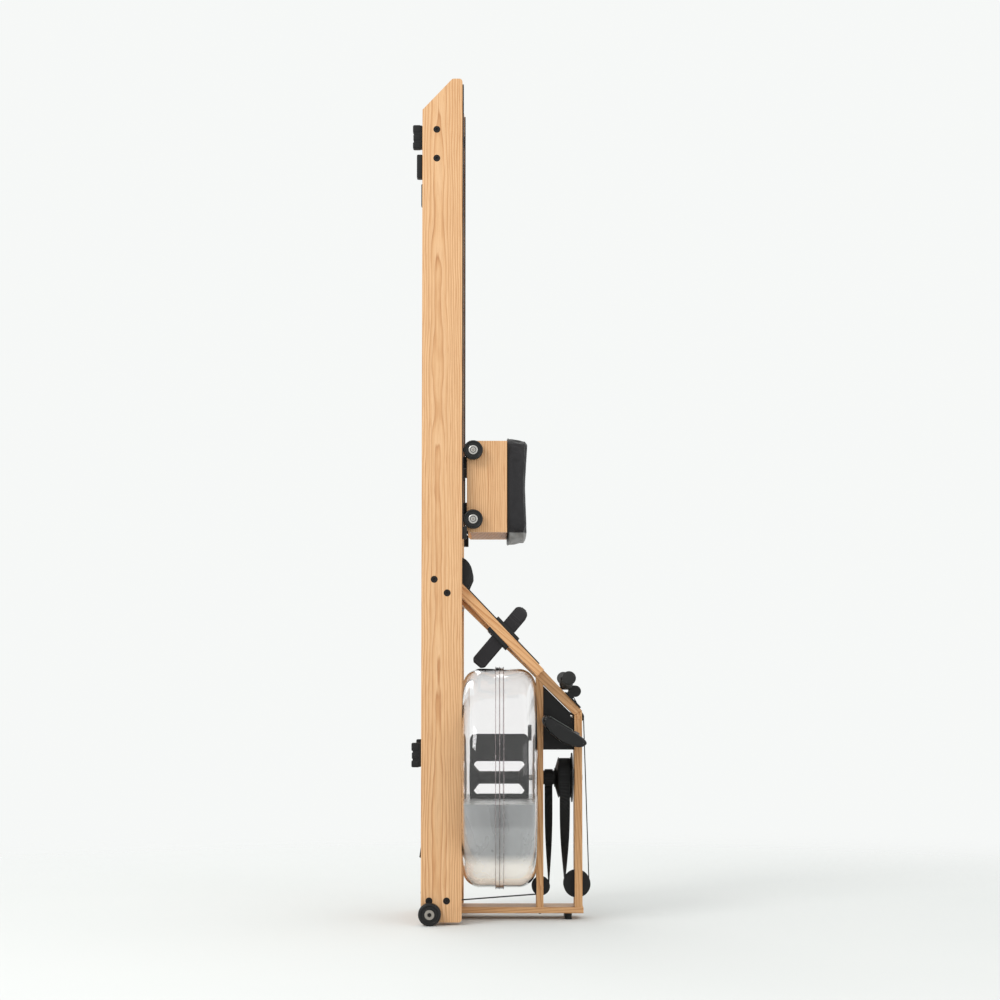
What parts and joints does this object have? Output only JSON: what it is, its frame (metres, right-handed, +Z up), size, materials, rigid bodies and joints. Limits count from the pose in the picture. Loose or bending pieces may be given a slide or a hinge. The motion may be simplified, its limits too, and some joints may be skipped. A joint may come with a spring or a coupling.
{
  "type": "rowing machine",
  "caption": "Water-resistance rowing machine in oak, stored upright on its front end, with sliding seat, strap handle, foot plates and a clear water tank with a paddle.",
  "frame": {"origin": "on the floor under the middle of the bounding box, with the machine standing on its front end", "axes": "+Z up along the rails towards the rear end, +X the side that faces up in use, -Y the user's right side where the monitor is"},
  "size_m": [0.446, 0.559, 2.102],
  "materials": {
    "oak": "light honey oak, satin oil",
    "black_plastic": "moulded, fine texture",
    "black_rubber": "matt rubber",
    "wheel_tyre": "polyurethane tyre on a moulded hub",
    "black_bolt": "black oxide",
    "bright_steel": "brushed",
    "black_metal": "black powder coat",
    "webbing": "woven nylon",
    "clear_tank": "clear polycarbonate",
    "tank_water": "clear water",
    "monitor_shell": "semi-gloss moulding",
    "monitor_glass": "display window",
    "button_grey": "moulded",
    "seat_cover": "charcoal vinyl"
  },
  "bodies": {
    "frame": {"rail_right": "oak", "rail_left": "oak", "rear_spacer": "oak", "front_spacer": "oak", "front_board": "oak", "deck_rails": "oak", "footboard_beams": "oak", "footboard_panels": "oak", "footboard_crosspiece": "oak", "seat_tracks": "black_plastic", "seat_stops": "black_plastic", "foot_plates": "black_plastic", "strap_clamps": "black_plastic", "side_plates": "black_plastic", "monitor_bracket": "black_plastic", "handle_rest": "black_plastic", "shaft_bearings": "black_plastic", "floor_pads": "black_rubber", "front_feet": "black_rubber", "tank_seal": "black_rubber", "rail_bolts": "black_bolt", "transport_axles": "bright_steel", "pulley_axles": "bright_steel", "cord_eye": "bright_steel", "toe_straps": "webbing", "drive_strap": "webbing", "recoil_strap": "webbing", "bungee_cord": "webbing", "tank_lower_shell": "clear_tank", "tank_upper_shell": "clear_tank", "water": "tank_water"},
    "seat": {"seat_sides": "oak", "seat_cross_boards": "oak", "seat_cushion": "seat_cover", "seat_axles": "bright_steel", "seat_guides": "black_plastic"},
    "seat_wheel_front_right_body": {"seat_wheel_front_right": "wheel_tyre"},
    "seat_wheel_front_left_body": {"seat_wheel_front_left": "wheel_tyre"},
    "seat_wheel_rear_right_body": {"seat_wheel_rear_right": "wheel_tyre"},
    "seat_wheel_rear_left_body": {"seat_wheel_rear_left": "wheel_tyre"},
    "handle": {"handle_bar": "black_metal", "handle_grips": "black_rubber", "strap_lead": "webbing"},
    "drum": {"drive_drum": "black_plastic", "sensor_disc": "black_plastic"},
    "rotor": {"paddle": "black_plastic", "drive_shaft": "bright_steel"},
    "drive_pulley_body": {"drive_pulley": "black_plastic"},
    "recoil_pulley_body": {"recoil_pulley": "black_plastic"},
    "bungee_pulley_body": {"bungee_pulley": "black_plastic"},
    "guide_roller_body": {"strap_guide_roller": "black_plastic"},
    "transport_right": {"transport_wheel_right": "wheel_tyre"},
    "transport_left": {"transport_wheel_left": "wheel_tyre"},
    "heel_right": {"heel_cup_right": "black_plastic"},
    "heel_left": {"heel_cup_left": "black_plastic"},
    "monitor": {"monitor_case": "monitor_shell", "monitor_screen": "monitor_glass"},
    "button_left": {"monitor_button_left": "button_grey"},
    "button_right": {"monitor_button_right": "button_grey"},
    "plug": {"fill_plug": "black_plastic"}
  },
  "joints": [
    {"name": "seat_slide", "type": "slide", "parent": "frame", "child": "seat", "axis": [0, 0, 1], "range_m": [0, 0.85]},
    {"name": "seat_wheel_front_right_spin", "type": "hinge", "parent": "seat", "child": "seat_wheel_front_right_body", "pos_m": [-0.0716, -0.166, 0.996], "axis": [0, 1, 0], "continuous": true},
    {"name": "seat_wheel_front_left_spin", "type": "hinge", "parent": "seat", "child": "seat_wheel_front_left_body", "pos_m": [-0.0716, 0.166, 0.996], "axis": [0, 1, 0], "continuous": true},
    {"name": "seat_wheel_rear_right_spin", "type": "hinge", "parent": "seat", "child": "seat_wheel_rear_right_body", "pos_m": [-0.0716, -0.166, 1.168], "axis": [0, 1, 0], "continuous": true},
    {"name": "seat_wheel_rear_left_spin", "type": "hinge", "parent": "seat", "child": "seat_wheel_rear_left_body", "pos_m": [-0.0716, 0.166, 1.168], "axis": [0, 1, 0], "continuous": true},
    {"name": "handle_pull", "type": "slide", "parent": "frame", "child": "handle", "axis": [0, 0, 1], "range_m": [0, 1.1], "deforming": ["strap_lead"]},
    {"name": "drum_spin", "type": "hinge", "parent": "frame", "child": "drum", "pos_m": [0.1582, 0, 0.352], "axis": [1, 0, 0], "continuous": true},
    {"name": "drive_pulley_spin", "type": "hinge", "parent": "frame", "child": "drive_pulley_body", "pos_m": [0.189, 0, 0.086], "axis": [0, 1, 0], "continuous": true},
    {"name": "recoil_pulley_spin", "type": "hinge", "parent": "frame", "child": "recoil_pulley_body", "pos_m": [0.098, 0, 0.08], "axis": [0, 1, 0], "continuous": true},
    {"name": "bungee_pulley_spin", "type": "hinge", "parent": "frame", "child": "bungee_pulley_body", "pos_m": [-0.177, 0, 0.064], "axis": [0, 1, 0], "continuous": true},
    {"name": "guide_roller_spin", "type": "hinge", "parent": "frame", "child": "guide_roller_body", "pos_m": [0.194, 0, 0.505], "axis": [0, 1, 0], "continuous": true},
    {"name": "paddle_spin", "type": "hinge", "parent": "frame", "child": "rotor", "pos_m": [-0.007, 0, 0.352], "axis": [1, 0, 0], "continuous": true},
    {"name": "transport_wheel_right_spin", "type": "hinge", "parent": "frame", "child": "transport_right", "pos_m": [-0.177, -0.1945, 0.028], "axis": [0, 1, 0], "continuous": true},
    {"name": "transport_wheel_left_spin", "type": "hinge", "parent": "frame", "child": "transport_left", "pos_m": [-0.177, 0.1945, 0.028], "axis": [0, 1, 0], "continuous": true},
    {"name": "heel_cup_right_slide", "type": "slide", "parent": "frame", "child": "heel_right", "axis": [0.6896, 0, -0.7242], "range_m": [0, 0.06]},
    {"name": "heel_cup_left_slide", "type": "slide", "parent": "frame", "child": "heel_left", "axis": [0.6896, 0, -0.7242], "range_m": [0, 0.06]},
    {"name": "monitor_tilt", "type": "hinge", "parent": "frame", "child": "monitor", "pos_m": [0.1495, -0.104, 0.46668], "axis": [0, 1, 0], "range_deg": [-20, 25]},
    {"name": "button_left_press", "type": "slide", "parent": "monitor", "child": "button_left", "axis": [-0.5135, 0, -0.8581], "range_m": [0, 0.001], "stiffness_N_per_m": 600},
    {"name": "button_right_press", "type": "slide", "parent": "monitor", "child": "button_right", "axis": [-0.5135, 0, -0.8581], "range_m": [0, 0.001], "stiffness_N_per_m": 600},
    {"name": "fill_plug_lift", "type": "slide", "parent": "frame", "child": "plug", "axis": [1, 0, 0], "range_m": [0, 0.03]}
  ],
  "couplings": [
    {"joint": "seat_wheel_front_right_spin", "follows": "seat_slide", "rad_per_m": -41.667},
    {"joint": "seat_wheel_front_left_spin", "follows": "seat_slide", "rad_per_m": -41.667},
    {"joint": "seat_wheel_rear_right_spin", "follows": "seat_slide", "rad_per_m": -41.667},
    {"joint": "seat_wheel_rear_left_spin", "follows": "seat_slide", "rad_per_m": -41.667},
    {"joint": "drum_spin", "follows": "handle_pull", "rad_per_m": 21.053},
    {"joint": "drive_pulley_spin", "follows": "handle_pull", "rad_per_m": -32.468},
    {"joint": "recoil_pulley_spin", "follows": "handle_pull", "rad_per_m": -20.223},
    {"joint": "bungee_pulley_spin", "follows": "handle_pull", "rad_per_m": -16.356},
    {"joint": "guide_roller_spin", "follows": "handle_pull", "rad_per_m": -76.336}
  ]
}
